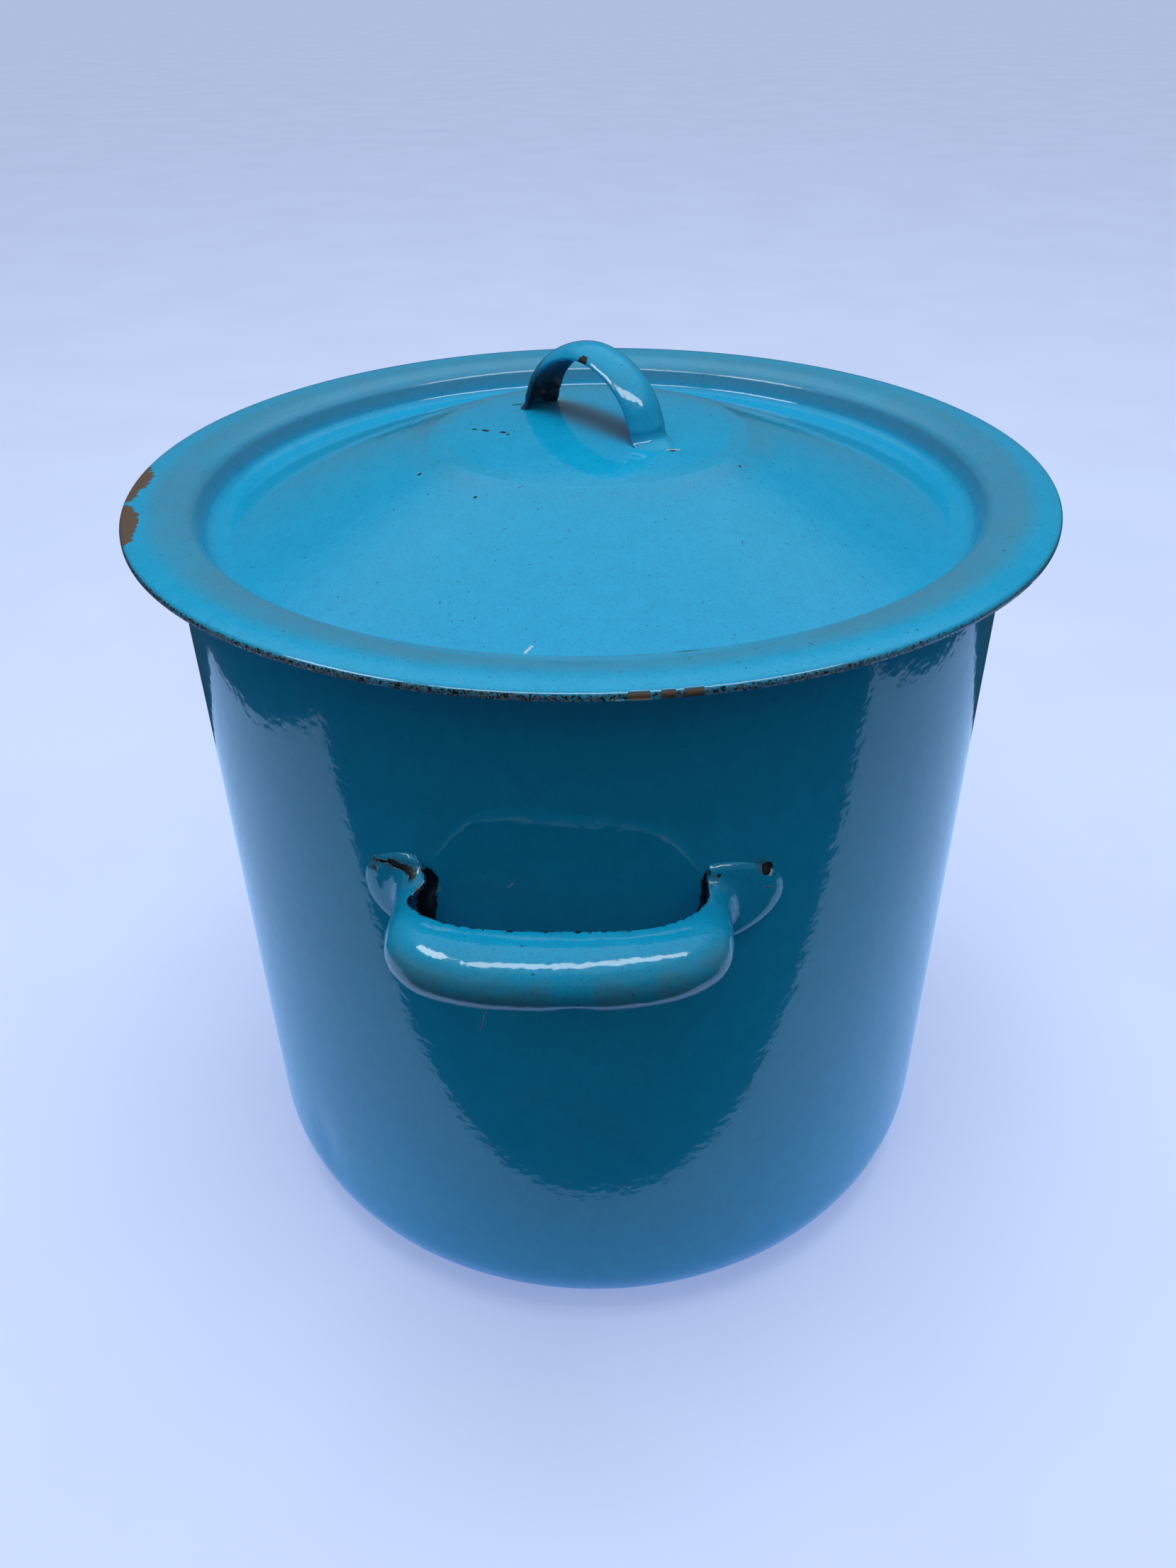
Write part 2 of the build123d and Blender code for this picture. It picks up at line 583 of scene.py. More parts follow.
# Marks as (start, end, reach, raggedness) in millimetres. Points on the wall and the side
# handles are (along the wall from the front, 0, up), and points on the lid are (x, y, 0).
WALL_PATCHES = [
    ((-43.6, 0, 223.0), (-45.6, 0, 207.0), 3.3, 1.0),
    ((44.2, 0, 226.0), (43.0, 0, 212.5), 1.7, 0.8),
    ((-28.0, 0, 170.2), (-30.2, 0, 161.5), 0.12, 0.12),
]
TAB_CHIPS = [
    ((-62.6, 0, 224.6), (-55.0, 0, 226.9), 0.35, 0.3),
    ((-55.0, 0, 226.6), (-46.6, 0, 226.2), 1.1, 0.8),
    ((-47.0, 0, 225.6), (-43.6, 0, 221.6), 0.9, 0.6),
    ((-61.9, 0, 222.1), (-61.9, 0, 222.1), 0.9, 0.2),
    ((63.3, 0, 224.9), (63.3, 0, 224.9), 2.1, 0.2),
    ((46.7, 0, 227.1), (46.7, 0, 227.1), 0.6, 0.3),
    ((62.1, 0, 218.8), (65.0, 0, 217.6), 0.12, 0.1),
]
TAB_RUST = [
    ((-62.8, 0, 222.8), (-61.6, 0, 224.4), 1.2, 0.6),
    ((-56.3, 0, 224.7), (-55.6, 0, 225.2), 0.9, 0.5),
    ((-54.0, 0, 227.4), (-47.0, 0, 227.2), 0.9, 0.6),
    ((61.2, 0, 226.4), (62.2, 0, 225.6), 1.9, 1.0),
    ((45.8, 0, 226.4), (45.8, 0, 226.4), 0.8, 0.4),
]
TAB_PALE = [((64.4, 0, 222.6), (65.9, 0, 224.8), 0.45, 0.2)]
WALL_SCRATCHES = [((-17.4, 0, 223.9), (-15.7, 0, 225.8), 0.15, 0.1)]
LID_CHIPS = [
    ((-41.0, -5.2, 0), (-40.4, -5.4, 0), 0.70, 0.2),
    ((-37.2, -7.2, 0), (-35.8, -8.2, 0), 0.75, 0.2),
    ((-30.2, -10.6, 0), (-29.4, -11.2, 0), 0.75, 0.2),
    ((-28.0, -13.0, 0), (-27.6, -13.4, 0), 0.45, 0.1),
    ((30.0, -26.6, 0), (30.0, -26.6, 0), 1.05, 0.1),
    ((-33.9, -57.5, 0), (-33.9, -57.5, 0), 0.50, 0.1),
    ((-55.8, -36.7, 0), (-55.8, -36.7, 0), 0.60, 0.1),
    ((53.0, -31.5, 0), (53.0, -31.5, 0), 0.45, 0.1),
    ((-29.3, 22.4, 0), (-25.4, 23.5, 0), 0.65, 0.2),
]
LID_SCRATCHES = [
    ((28.4, -26.6, 0), (32.6, -25.4, 0), 0.30, 0.15),
    ((-11.6, -125.6, 0), (-9.8, -123.4, 0), 0.30, 0.15),
]
# Grime and a painted shadow on the lid's middle under the arch.
ARCH_SHADOW_AND_GRIME = [((-15.0, 25.0, 0), (13.0, -11.0, 0), 5.0, 1.0)]

# Chips of the lid's outer edge. Their points are (along the brim from the front, out, 0).
BRIM_CHIPS = [
    ((-257.0, 167.6, 0), (-229.0, 166.8, 0), 5.4, 1.3),
    ((-250.0, 163.6, 0), (-237.0, 163.6, 0), 4.0, 1.5),
    ((-216.0, 166.8, 0), (-189.0, 167.6, 0), 5.8, 1.5),
    ((-210.0, 163.4, 0), (-195.0, 164.0, 0), 4.0, 1.7),
]
RED_CHIPS = [
    ((21.0, 165.4, 0), (24.0, 165.4, 0), 1.2, 0.5),
    ((29.5, 165.4, 0), (31.0, 165.4, 0), 1.1, 0.5),
    ((35.5, 165.4, 0), (38.5, 165.4, 0), 1.1, 0.5),
]

# The chip on the arch, in metres, and the arch's direction and middle, seen from above.
ARCH_CHIP = (-0.0018, -0.0082, 0.3424)
ARCH_WAY = (0.719, -0.695)
ARCH_MIDDLE = (0.0015, 0.0003)

# The burnt inside of the arch's far foot, along the arch, and the lid's rings of film (the brim's
# ring is film and painted shade), by radius, in metres: where each one starts, is full, begins to
# fade and ends.
BURNT_FOOT = (-0.0316, -0.0304, -0.0210, -0.0160)
PLATEAU_RING = (0.0500, 0.0540, 0.0560, 0.0580)
STEP_RING = (0.0560, 0.0590, 0.0600, 0.0720)
TROUGH_RING = (0.1385, 0.1405, 0.1412, 0.1425)
BRIM_FILM_AND_SHADE = (0.1400, 0.1425, 0.1520, 0.1605)

# Middle of the arc of fine scratches, as an angle from the front and a radius.
ARC_TURN = 0.17
ARC_RADIUS = 0.1432

# Radii at which an angle round the axis becomes a length along the wall or the brim.
WALL_ROUND = 0.150
BRIM_ROUND = 0.168


def around(x, y):
    """A point's angle round the axis from the front, and its distance from the axis."""
    return x.math("ARCTAN2", y * -1), (x * x + y * y).math("SQRT")


def wall_place(shader):
    """Where a point is on the wall unrolled from the front, and how far it is from the axis."""
    x, y, z = shader.axes()
    turn, out = around(x, y)
    return shader.joined(turn * WALL_ROUND, 0.0, z), out


def body_marks(shader):
    """Bare patches behind the handle's legs, chips round its tabs, scratches and a film."""
    wall, out = wall_place(shader)
    outside = out.rise(0.1490, 0.1496)
    bare = shader.marks(wall, WALL_PATCHES) * outside
    chips = shader.marks(wall, TAB_CHIPS) * outside
    rust = shader.marks(wall, TAB_RUST, blur=1.3) * outside * 0.42
    pale = shader.marks(wall, WALL_SCRATCHES) * outside * 0.5
    film = shader.noise(14, 4, 0.6).rise(0.50, 0.80) * 0.12
    return film, bare.bigger(chips), rust, pale


def grip_marks(shader):
    """Chips and rust on the tabs, a film low on the grip, and worn edges."""
    wall, out = wall_place(shader)
    x, _, z = shader.axes()
    near = out.rise(0.1565, 0.1545)
    bare = shader.marks(wall, TAB_CHIPS) * near
    rust = shader.marks(wall, TAB_RUST, blur=1.3) * near * 0.42
    pale = shader.marks(wall, TAB_PALE) * near * 0.6
    edge = shader.worn_edge()
    wear = shader.noise(520, 3, 0.7)
    chips = (edge.rise(0.6, 1.0) * 0.42 + wear).rise(0.80, 0.88)
    chips = chips.bigger((edge * 0.42 + wear).rise(0.84, 0.90))
    cloud = shader.noise(60, 4, 0.65)
    low = z.rise(0.2275, 0.2205) * out.rise(0.172, 0.180)
    clean = abs(x - 0.005).rise(0.003, 0.010)
    grime = low * clean * cloud.rise(0.28, 0.56) * 0.42
    film = cloud.rise(0.45, 0.75) * 0.10
    rusty = (edge * 0.34 + wear).rise(0.90, 0.97) * 0.5
    return grime.bigger(film), bare.bigger(chips), rust.bigger(rusty), pale


def lid_film_and_shade(shader, y, out, flat, face):
    """Film on the brim and its face, round the flat middle and under the arch. Under the arch it
    is grime and painted shadow, and on the brim film and painted shade.
    """
    cloud = shader.noise(16, 4, 0.6)
    wisps = shader.noise(70, 4, 0.65)
    # Film on the brim's inner half, partly painted shade.
    brim = out.band(*BRIM_FILM_AND_SHADE) * (cloud.rise(0.05, 0.50) * 0.30 + wisps.rise(0.3, 0.7) * 0.10)
    rear = (y * 6 + 0.5).smaller(1.0).bigger(0.12)
    steps = out.band(*STEP_RING).bigger(out.band(*PLATEAU_RING) * 0.6)
    ring = steps * rear * cloud.rise(0.25, 0.65) * 0.60
    # Grime and a painted shadow under the arch, between its feet.
    under = shader.marks(flat, ARCH_SHADOW_AND_GRIME, blur=7.0) * 0.55
    foot = out.band(*TROUGH_RING) * 0.40
    edge = face * wisps.rise(0.3, 0.6) * 0.55
    film = brim.bigger(ring).bigger(under).bigger(foot).bigger(edge)
    return film + wisps.rise(0.5, 0.85) * 0.05


def lid_wear(shader, x, y, turn, out, face):
    """Dark and rusty specks on the brim's face, most at the front left, and fine scratches."""
    wear = shader.noise(1050, 3, 0.7)
    front_left = (y * -3.0 - x * 2.4 + 0.55).smaller(1.0).bigger(0.25)
    chipped = (face * front_left * 0.24 + wear).rise(0.69, 0.77) * face
    streaks = shader.noise(900, 2, 0.6, shader.joined(turn * 0.02, out, 0.0))
    arc = abs(turn - ARC_TURN).rise(0.14, 0.09) * abs(out - ARC_RADIUS).rise(0.0022, 0.0012)
    scratches = arc * (streaks * 0.6 + wear * 0.4).rise(0.53, 0.58)
    dark = shader.noise(900, 2, 0.6).rise(0.38, 0.52)
    return (chipped * dark).bigger(scratches), chipped * (1 - dark) * 0.85


def lid_marks(shader):
    """Film round the pressed steps, grime and painted shade under the arch and on the brim, a
    chipped brim, scratches and pinholes.
    """
    x, y, z = shader.axes()
    turn, out = around(x, y)
    flat = shader.joined(x, y, 0.0)
    brim = shader.joined(turn * BRIM_ROUND, out, 0.0)
    face = out.rise(LID_HIGH.x - 0.0011, LID_HIGH.x - 0.0006) * z.rise(0.3017, 0.3010)
    film = lid_film_and_shade(shader, y, out, flat, face)
    worn, rusty = lid_wear(shader, x, y, turn, out, face)
    big = shader.marks(brim, BRIM_CHIPS)
    red = shader.marks(brim, RED_CHIPS) * z.rise(0.3020, 0.3012)
    bare = shader.marks(flat, LID_CHIPS).bigger(worn) * (1 - big) * (1 - red)
    pale = shader.marks(flat, LID_SCRATCHES) * 0.7
    return film, bare, big.bigger(red).bigger(rusty), pale


def arch_marks(shader):
    """A burnt inside of the far foot, a chip on top, worn edges and a film."""
    x, y, z = shader.axes()
    wear = shader.noise(520, 3, 0.7)
    edges = (shader.worn_edge() * 0.36 + wear).rise(0.93, 0.98)
    along = (x - ARCH_MIDDLE[0]) * ARCH_WAY[0] + (y - ARCH_MIDDLE[1]) * ARCH_WAY[1]
    burnt = along.band(*BURNT_FOOT) * (z + wear * 0.016).rise(0.3540, 0.3330)
    away = shader.vector("DISTANCE", {0: shader.place, 1: ARCH_CHIP}, "Value")
    chip = (away + (wear - 0.5) * 0.002).rise(0.0024, 0.0018)
    film = shader.noise(60, 3, 0.6).rise(0.45, 0.75) * 0.12
    return film, edges.bigger(chip).bigger(burnt * 0.85), burnt * wear.rise(0.5, 0.6), 0.0


# ---------------------------------------------------------------- pieces


# The knock low on the wall: its direction from the front, its height, and its half width and
# half height in metres.
DENT_WAY = math.radians(-45)
DENT_HEIGHT = 0.050
DENT_WIDE = 0.010
DENT_TALL = 0.016


class STOCKPOT_OT_body(bpy.types.Operator):
    """Model the pot's body with its rolled rim"""

    bl_idname = "stock_pot.body"
    bl_label = "Pot Body"

    def execute(self, context):
        size = context.scene.stock_pot_body
        bm = chain(self.section(size))
        divide_long(bm, LONGEST)
        lathe(bm, AROUND)
        for vert in bm.verts:
            self.shape(vert, size)
        bmesh.ops.recalc_face_normals(bm, faces=bm.faces[:])
        middle = Vector((0, 0, size.rim * 0.6))
        for face in bm.faces:
            centre = face.calc_center_median()
            inward = face.normal.dot(middle - centre) > 0
            face.material_index = int(inward and centre.z < size.rim - size.bead)
        finishes = [
            enamel("body_enamel_finish", body_marks, speckled=0.35),
            lining("body_lining_finish"),
        ]
        make_piece("pot_shell", bm, finishes, "pot", "pot_body")
        return {"FINISHED"}

    def section(self, size):
        """The wall and its rolled rim as corners of (radius, height, rounding)."""
        inner = size.radius - size.wall
        outer = inner + 2 * size.bead
        below = size.rim - 2 * size.bead
        rolled = size.bead * 0.98
        return [
            (0, 0, 0),
            (size.radius, 0, size.corner),
            (size.radius, below, 0.0006),
            (outer, below, rolled),
            (outer, size.rim, rolled),
            (inner, size.rim, rolled),
            (inner, size.wall, size.corner - size.wall),
            (0, size.wall, 0),
        ]

    def shape(self, vert, size):
        """Press the wall slightly out of round and knock a dent into it."""
        flat = Vector((vert.co.x, vert.co.y, 0))
        if flat.length < size.radius - 0.050:
            return
        way = flat.normalized()
        up = vert.co.z
        # The ripple fades out over the rounded base and below the rim.
        free = smooth_step(up / 0.03) * smooth_step((0.285 - up) / 0.06)
        wave = noise.noise(Vector((way.x * 1.6, way.y * 1.6, up * 7)))
        aside = (math.atan2(way.x, -way.y) - DENT_WAY) * size.radius
        knock = math.exp(-((aside / DENT_WIDE) ** 2) - ((up - DENT_HEIGHT) / DENT_TALL) ** 2)
        vert.co += way * (wave * size.ripple * free - size.dent * knock)


# Stations along a side handle, in millimetres: the open side's line (across, out from the
# root), the web's outermost line (across, out), and half the strap's height. They go from
# the left tab along the left leg, the grip and the right leg to the right tab.
GRIP_STATIONS = [
    (-46.0, -1.2, -65.4, -1.2, 16.4),
    (-46.0, 0.1, -65.0, 0.1, 16.2),
    (-45.8, 0.9, -63.8, 1.0, 15.5),
    (-45.2, 1.7, -61.4, 1.7, 14.6),
    (-44.4, 2.3, -56.6, 2.3, 13.3),
    (-43.5, 3.8, -54.3, 3.6, 12.0),
    (-42.8, 5.8, -53.6, 5.6, 11.0),
    (-43.4, 8.4, -53.2, 8.6, 9.6),
    (-46.6, 12.2, -53.0, 12.4, 8.2),
    (-46.6, 15.6, -52.8, 16.0, 8.7),
    (-45.2, 19.0, -52.7, 20.6, 9.9),
    (-42.8, 23.0, -52.2, 26.8, 11.2),
    (-38.6, 27.6, -49.8, 33.4, 12.0),
    (-32.0, 31.4, -41.5, 41.4, 12.3),
    (-22.0, 33.6, -25.5, 46.8, 12.3),
    (-10.0, 34.3, -11.0, 47.9, 12.3),
    (0.0, 34.0, 0.0, 47.7, 12.3),
    (10.0, 33.4, 11.0, 46.9, 12.3),
    (20.0, 32.3, 23.0, 44.6, 12.2),
    (28.0, 29.9, 34.0, 41.2, 12.1),
    (33.8, 26.4, 42.4, 36.4, 12.0),
    (38.0, 21.8, 48.4, 30.6, 11.5),
    (40.8, 17.0, 50.8, 23.6, 10.7),
    (42.4, 12.8, 51.0, 16.4, 9.9),
    (43.0, 9.4, 50.8, 10.6, 9.4),
    (43.1, 6.4, 50.9, 6.8, 9.6),
    (43.2, 4.2, 51.6, 4.4, 10.2),
    (43.2, 2.8, 53.2, 2.9, 11.2),
    (43.3, 2.2, 56.8, 2.2, 12.4),
    (43.4, 1.9, 62.6, 1.9, 14.0),
    (43.5, 1.2, 65.8, 1.3, 15.1),
    (43.5, 0.2, 67.4, 0.2, 15.9),
    (43.5, -1.2, 68.0, -1.2, 16.2),
]


# The notch in the grip's lower edge: how far right of the middle it is, and its half width.
NOTCH_ACROSS = 0.0055
NOTCH_WIDE = 0.0042

# How far out the handle still follows the round wall, and how much higher its tabs sit.
SEAT_REACH = 0.020
SEAT_LIFT = 0.0017


class STOCKPOT_OT_side_handles(bpy.types.Operator):
    """Model the two strap handles on the pot's sides"""

    bl_idname = "stock_pot.side_handles"
    bl_label = "Side Handles"

    def execute(self, context):
        size = context.scene.stock_pot_grips
        radius = context.scene.stock_pot_body.radius
        material = enamel("grip_enamel_finish", grip_marks, peeling=1.7)
        for name, turn in (("front", 0), ("rear", math.pi)):
            bm = strap(arc_section(math.pi / 2, steps=18), self.places())
            face_way(bm, (0, 0.06, 0), (0, 1, 0))
            for vert in bm.verts:
                self.seat(vert, size, radius)
            bmesh.ops.recalc_face_normals(bm, faces=bm.faces[:])
            face_way(bm, (0, -0.2, size.height), (0, -1, 0))
            thicken(bm, size.thickness)
            soften(bm, 0.0005, lambda spot: spot.xy.length > radius + 0.0012)
            for vert in bm.verts:
                flat = vert.co.xy.length
                vert.co.xy *= max(flat, radius - 0.0010) / flat
            turn_upright(bm, turn)
            node = "side_handle_" + name
            make_piece("grip_" + name, bm, [material], "pot", node)
        return {"FINISHED"}

    def places(self):
        """Matrices of the half-round section from the left tab to the right one."""
        places = []
        for lip_x, lip_out, web_x, web_out, half in blend_keys(GRIP_STATIONS, 4):
            lip = Vector((lip_x, lip_out, 0)) * MM
            web = Vector((web_x, web_out, 0)) * MM
            places.append(station(lip, web, Vector((0, 0, half)) * MM))
        return places

    def seat(self, vert, size, radius):
        """Lean the handle and put it on the round wall. The vert is (across, out, up)."""
        across, out, up = vert.co
        notch = self.notch(across, out, up) * size.notch
        up += notch
        out -= notch * 0.6
        lean = size.lean * smooth_step(out / 0.012)
        lifted = up * math.cos(lean) + out * math.sin(size.lean)
        moved = out * math.cos(size.lean) - up * math.sin(lean)
        wall = math.sqrt(radius**2 - across**2)
        near = 1 - smooth_step((out - 0.001) / SEAT_REACH)
        base = size.root + (wall - size.root) * near
        centre = size.height + SEAT_LIFT * near
        vert.co = Vector((across, -(base + moved), centre + lifted))

    def notch(self, across, out, up):
        """1 in the middle of the notch in the grip's lower edge, 0 away from it."""
        beside = math.exp(-(((across - NOTCH_ACROSS) / NOTCH_WIDE) ** 2))
        return beside * smooth_step((out - 0.030) / 0.005) * smooth_step((-up - 0.005) / 0.006)


class STOCKPOT_OT_lid(bpy.types.Operator):
    """Model the pressed lid with its trough and brim"""

    bl_idname = "stock_pot.lid"
    bl_label = "Lid"

    def execute(self, context):
        size = context.scene.stock_pot_lid
        bm = chain(self.section(size))
        divide_long(bm, LONGEST)
        lathe(bm, AROUND)
        face_way(bm, (0, 0, size.crown), (0, 0, 1))
        thicken(bm, size.wall)
        soften(bm, 0.0003, lambda spot: True)
        bm.normal_update()
        hem = size.brim_radius - size.wall
        for face in bm.faces:
            centre = face.calc_center_median()
            under = face.normal.z < -0.05 and centre.xy.length < hem
            face.material_index = int(under)
        finishes = [
            enamel("lid_enamel_finish", lid_marks),
            lining("lid_lining_finish"),
        ]
        make_piece("lid_pressing", bm, finishes, "lid", "lid_shell")
        return {"FINISHED"}

    def section(self, size):
        """The lid's upper side as corners of (radius, height, rounding)."""
        return [
            (0, size.crown, 0),
            (size.plateau_radius / 2, size.crown, 0.330),
            (size.plateau_radius - 0.0012, size.plateau_edge + 0.0003, 0.0030),
            (size.plateau_radius + 0.0008, size.plateau_edge - 0.0004, 0.0030),
            (size.dome_foot, size.trough, 0.007),
            (size.trough_radius, size.trough, 0.0042),
            (size.brim_inner_radius, size.brim_inner, 0.0046),
            (size.crest_radius, size.crest, 0.036),
            (size.brim_radius, size.brim_edge, 0.0019),
            (size.brim_radius, size.brim_edge - size.hem, 0),
        ]


# Stations from a foot of the lid's arch upwards, in millimetres: the open side's line
# (along, up), the back's line (along, up), and half the strap's width.
ARCH_FOOT = [
    (29.6, -0.9, 38.6, -0.9, 8.6),
    (29.3, -0.1, 37.0, 0.0, 8.6),
    (28.7, 0.5, 34.8, 0.6, 8.5),
    (28.0, 1.3, 33.0, 1.5, 8.4),
    (27.4, 2.7, 32.1, 3.0, 8.4),
    (27.0, 4.6, 31.6, 5.0, 8.4),
]

# The rest of the arch is a superellipse: its power, where 2 is an ellipse, and the angles of
# its stations in degrees.
ARCH_POWER = 1.88
ARCH_ANGLES = (17, 26, 36, 48, 60, 75, 90)

# The lid's middle is flat to the first radius, and from there it drops by the distance squared
# over the second, in metres.
CROWN_FLAT = 0.006
CROWN_ROUND = 0.66


class STOCKPOT_OT_lid_handle(bpy.types.Operator):
    """Model the arched strap handle on the lid"""

    bl_idname = "stock_pot.lid_handle"
    bl_label = "Lid Handle"

    def execute(self, context):
        size = context.scene.stock_pot_arch
        crown = context.scene.stock_pot_lid.crown
        bm = strap(arc_section(math.radians(72), steps=16), self.places(size))
        for vert in bm.verts:
            vert.co.z += self.ground(vert.co, crown)
        face_way(bm, (0, 0, crown + size.rise), (0, 0, 1))
        thicken(bm, size.thickness)
        soften(bm, 0.0004, lambda spot: spot.z > crown - 0.0005)
        for vert in bm.verts:
            lowest = self.ground(Vector((vert.co.x, vert.co.y, 0)), crown) - 0.0009
            vert.co.z = max(vert.co.z, lowest)
        turn_upright(bm, size.turn)
        bmesh.ops.translate(bm, vec=(*ARCH_MIDDLE, 0), verts=bm.verts[:])
        finish = enamel("arch_enamel_finish", arch_marks, peeling=1.5)
        make_piece("lid_arch", bm, [finish], "lid", "lid_handle")
        return {"FINISHED"}

    def ground(self, spot, crown):
        """How far to lift a point of the arch so that the feet lie on the rounded lid."""
        flat = math.hypot(spot.x, spot.y)
        drop = max(flat - CROWN_FLAT, 0) ** 2 / CROWN_ROUND
        return crown - drop * (1 - smooth_step(spot.z / 0.012))

    def places(self, size):
        """Matrices of the cambered section from one foot over the arch to the other."""
        keys = list(ARCH_FOOT)
        power = 2 / ARCH_POWER
        for angle in ARCH_ANGLES:
            turn = math.radians(angle)
            along = size.half_span * math.cos(turn) ** power
            up = size.rise * math.sin(turn) ** power
            web = Vector((along, 0, up))
            out = Vector((math.cos(turn) / size.half_span, 0, math.sin(turn) / size.rise))
            lip = web - out.normalized() * size.camber
            values = (lip.x, lip.z, web.x, web.z, size.width / 2)
            keys.append(tuple(value / MM for value in values))
        _, lip_z, _, web_z, half = keys.pop()
        mirrored = [(-a, b, -c, d, e) for a, b, c, d, e in reversed(keys)]
        keys += [(0.0, lip_z, 0.0, web_z, half), *mirrored]
        places = []
        for lip_x, lip_z, web_x, web_z, half in blend_keys(keys, 4):
            lip = Vector((lip_x, 0, lip_z)) * MM
            web = Vector((web_x, 0, web_z)) * MM
            places.append(station(lip, web, Vector((0, half, 0)) * MM))
        return places


# The stage's turn round the pot, and the camera's direction, place and lens before that turn.
STAGE_TURN = math.radians(3.5)
CAMERA_PITCH = math.radians(34.15)
CAMERA_YAW = math.radians(-0.31)
CAMERA_ROLL = math.radians(-0.92)
CAMERA_SPOT = (0, -0.4383, 0.4588)
CAMERA_LENS = 28.14

# Soft lights as (name, place, aim, width, depth, watts, what doesn't see it).
SOFTBOXES = [
    ("overhead", (0, -0.15, 2.3), (0, 0, 0.15), 1.2, 1.2, 26, "glossy"),
    ("strip", (0.45, -1.42, 2.28), (0.1, 0, 0.25), 3.8, 0.5, 46, "diffuse"),
    ("fill_left", (-1.8, -0.7, 0.35), (0, 0, 0.15), 1.2, 0.8, 0.3, "glossy"),
    ("fill_right", (1.8, -0.7, 0.35), (0, 0, 0.15), 1.2, 0.8, 0.3, "glossy"),
    ("left", (-1.5, -0.8, 1.75), (0, 0, 0.3), 1.0, 0.45, 13, "diffuse"),
]


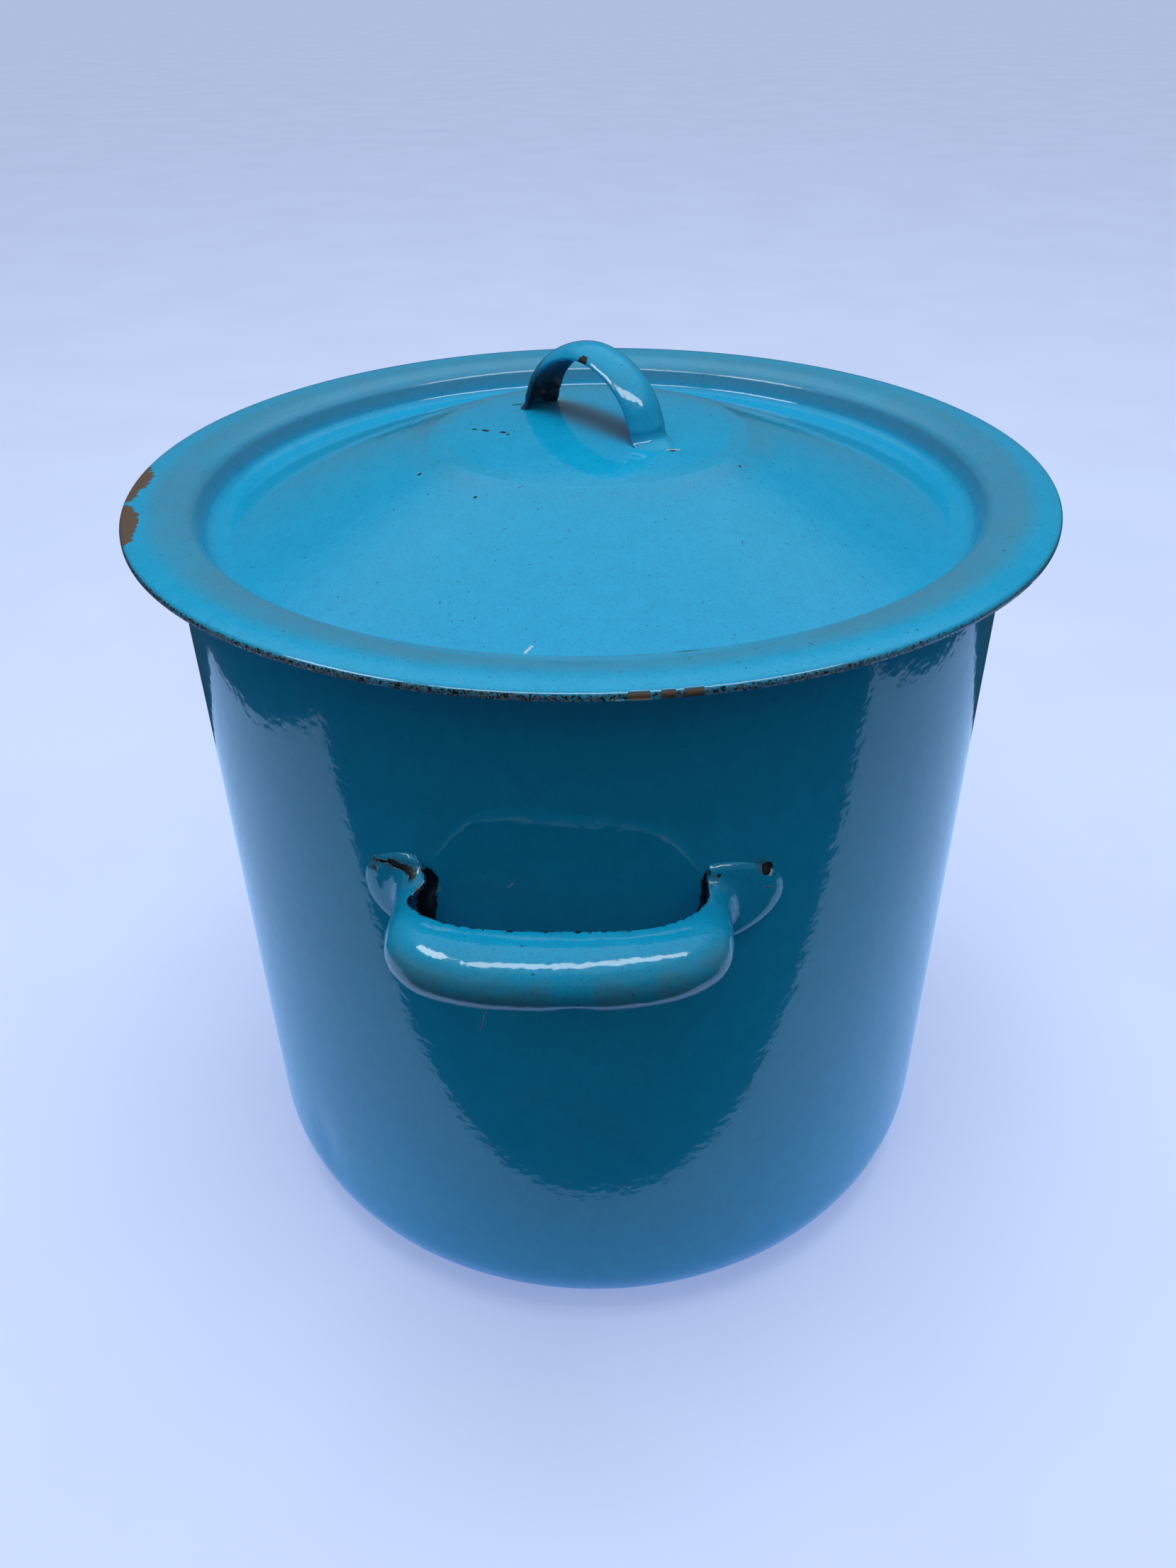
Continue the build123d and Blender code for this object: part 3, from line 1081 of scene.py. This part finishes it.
class STOCKPOT_OT_stage(bpy.types.Operator):
    """Set up the studio floor, the lights and the camera"""

    bl_idname = "stock_pot.stage"
    bl_label = "Studio"

    def execute(self, context):
        self.camera(context)
        self.floor(context)
        self.surround(context)
        for softbox in SOFTBOXES:
            self.softbox(context, *softbox)
        context.scene.view_settings.view_transform = "Standard"
        return {"FINISHED"}

    def camera(self, context):
        """A camera that looks down on the pot from a little right of the handle."""
        turn = Matrix.Rotation(STAGE_TURN, 3, "Z")
        level = math.cos(CAMERA_PITCH)
        right = Vector((math.cos(CAMERA_YAW), -math.sin(CAMERA_YAW), 0))
        ahead = Vector(
            (
                math.sin(CAMERA_YAW) * level,
                math.cos(CAMERA_YAW) * level,
                -math.sin(CAMERA_PITCH),
            )
        )
        up = right.cross(ahead)
        across = right * math.cos(CAMERA_ROLL) + up * math.sin(CAMERA_ROLL)
        upright = up * math.cos(CAMERA_ROLL) - right * math.sin(CAMERA_ROLL)
        rotation = turn @ Matrix((across, upright, -ahead)).transposed()
        data = bpy.data.cameras.new("camera")
        data.lens = CAMERA_LENS
        data.sensor_width = 36
        data.clip_start = 0.01
        data.clip_end = 200
        camera = bpy.data.objects.new("camera", data)
        context.scene.collection.objects.link(camera)
        place = Matrix.Translation(turn @ Vector(CAMERA_SPOT))
        camera.matrix_world = place @ rotation.to_4x4()
        context.scene.camera = camera

    def sheet(self, context, name, low, high, height, turn, tint, glow):
        """A flat sheet between two corners, with a faint glow of its own."""
        bm = bmesh.new()
        bmesh.ops.create_grid(bm, x_segments=2, y_segments=2, size=0.5)
        wide, deep = high[0] - low[0], high[1] - low[1]
        bmesh.ops.scale(bm, vec=(wide, deep, 1), verts=bm.verts[:])
        centre = ((high[0] + low[0]) / 2, (high[1] + low[1]) / 2, height)
        bmesh.ops.translate(bm, vec=centre, verts=bm.verts[:])
        turn_upright(bm, turn)
        mesh = bpy.data.meshes.new(name)
        bm.to_mesh(mesh)
        bm.free()
        shader = Shader(name + "_finish")
        soft = shader.noise(6, 2, 0.5)
        shade = tuple(c * 0.97 for c in tint)
        base = shader.mix(soft.rise(0.35, 0.65), shade, tint)
        grain = shader.bump(shader.noise(900, 2, 0.5), strength=0.15, distance=0.0002)
        shader.set(Base_Color=base, Roughness=0.9, Normal=grain, IOR=1.3)
        shader.set(Emission_Color=base, Emission_Strength=glow)
        mesh.materials.append(shader.material)
        sheet = bpy.data.objects.new(name, mesh)
        context.scene.collection.objects.link(sheet)
        return sheet

    def floor(self, context):
        """A pale floor for the camera alone, and the table top that the pot mirrors."""
        colours = context.scene.stock_pot_colours
        floor = self.sheet(context, "floor", (-40, -40), (40, 40), 0, 0, colours.floor, 0.50)
        floor.visible_diffuse = False
        floor.visible_glossy = False
        floor.visible_transmission = False
        floor.visible_shadow = False
        low, high = (-0.545, -0.212), (0.615, 0.283)
        tint = colours.table
        table = self.sheet(context, "table", low, high, -0.001, STAGE_TURN, tint, 0.30)
        table.visible_camera = False
        table.visible_shadow = False
        table.visible_transmission = False

    def surround(self, context):
        """A pale surround that is dim near the ground, and a plain backdrop for the camera."""
        colours = context.scene.stock_pot_colours
        world = bpy.data.worlds.new("surround")
        world.use_nodes = True
        nodes = Nodes(world.node_tree, "Generated")
        z = nodes.axes()[2]
        dim = nodes.mix(z.rise(-0.02, 0.02), colours.ground, colours.low)
        sky = nodes.mix(z.rise(0.45, 0.75), dim, colours.high)
        seen = nodes.node("ShaderNodeLightPath", output="Is Camera Ray")
        backdrop = nodes.mix(seen, sky, colours.backdrop)
        nodes.feed(world.node_tree.nodes["Background"].inputs["Color"], backdrop)
        context.scene.world = world

    def softbox(self, context, name, spot, aim, wide, deep, watts, unseen):
        """A rectangular area light that looks at a point and is left out of some rays."""
        data = bpy.data.lights.new(name, "AREA")
        data.shape = "RECTANGLE"
        data.size = wide
        data.size_y = deep
        data.energy = watts
        light = bpy.data.objects.new(name, data)
        context.scene.collection.objects.link(light)
        way = (Vector(aim) - Vector(spot)).to_track_quat("-Z", "Y")
        light.matrix_world = Matrix.Translation(spot) @ way.to_matrix().to_4x4()
        setattr(light, "visible_" + unseen, False)


class STOCKPOT_PT_panel(bpy.types.Panel):
    """The stock pot's operators and sizes"""

    bl_idname = "STOCKPOT_PT_panel"
    bl_label = "Stock Pot"
    bl_space_type = "VIEW_3D"
    bl_region_type = "UI"
    bl_category = "Stock Pot"

    def draw(self, context):
        for operator in OPERATORS:
            self.layout.operator(operator.bl_idname)
        for name, group in GROUPS.items():
            column = self.layout.column(align=True)
            column.label(text=group.__doc__)
            for field in group.__annotations__:
                column.prop(getattr(context.scene, name), field)


OPERATORS = (
    STOCKPOT_OT_body,
    STOCKPOT_OT_side_handles,
    STOCKPOT_OT_lid,
    STOCKPOT_OT_lid_handle,
    STOCKPOT_OT_stage,
)
GROUPS = {
    "stock_pot_body": StockPotBodySizes,
    "stock_pot_grips": StockPotGripSizes,
    "stock_pot_lid": StockPotLidSizes,
    "stock_pot_arch": StockPotArchSizes,
    "stock_pot_colours": StockPotColours,
}


def register():
    """Register the classes and hang the property groups on the scene."""
    for name, group in GROUPS.items():
        bpy.utils.register_class(group)
        setattr(bpy.types.Scene, name, PointerProperty(type=group))
    for cls in (*OPERATORS, STOCKPOT_PT_panel):
        bpy.utils.register_class(cls)


def unregister():
    """Take the classes and the property groups away again."""
    for cls in (STOCKPOT_PT_panel, *reversed(OPERATORS)):
        bpy.utils.unregister_class(cls)
    for name, group in reversed(GROUPS.items()):
        delattr(bpy.types.Scene, name)
        bpy.utils.unregister_class(group)


def main():
    """Register the add-on, model everything and set up the studio."""
    register()
    bpy.ops.stock_pot.body()
    bpy.ops.stock_pot.side_handles()
    bpy.ops.stock_pot.lid()
    bpy.ops.stock_pot.lid_handle()
    bpy.ops.stock_pot.stage()


if __name__ == "__main__":
    main()
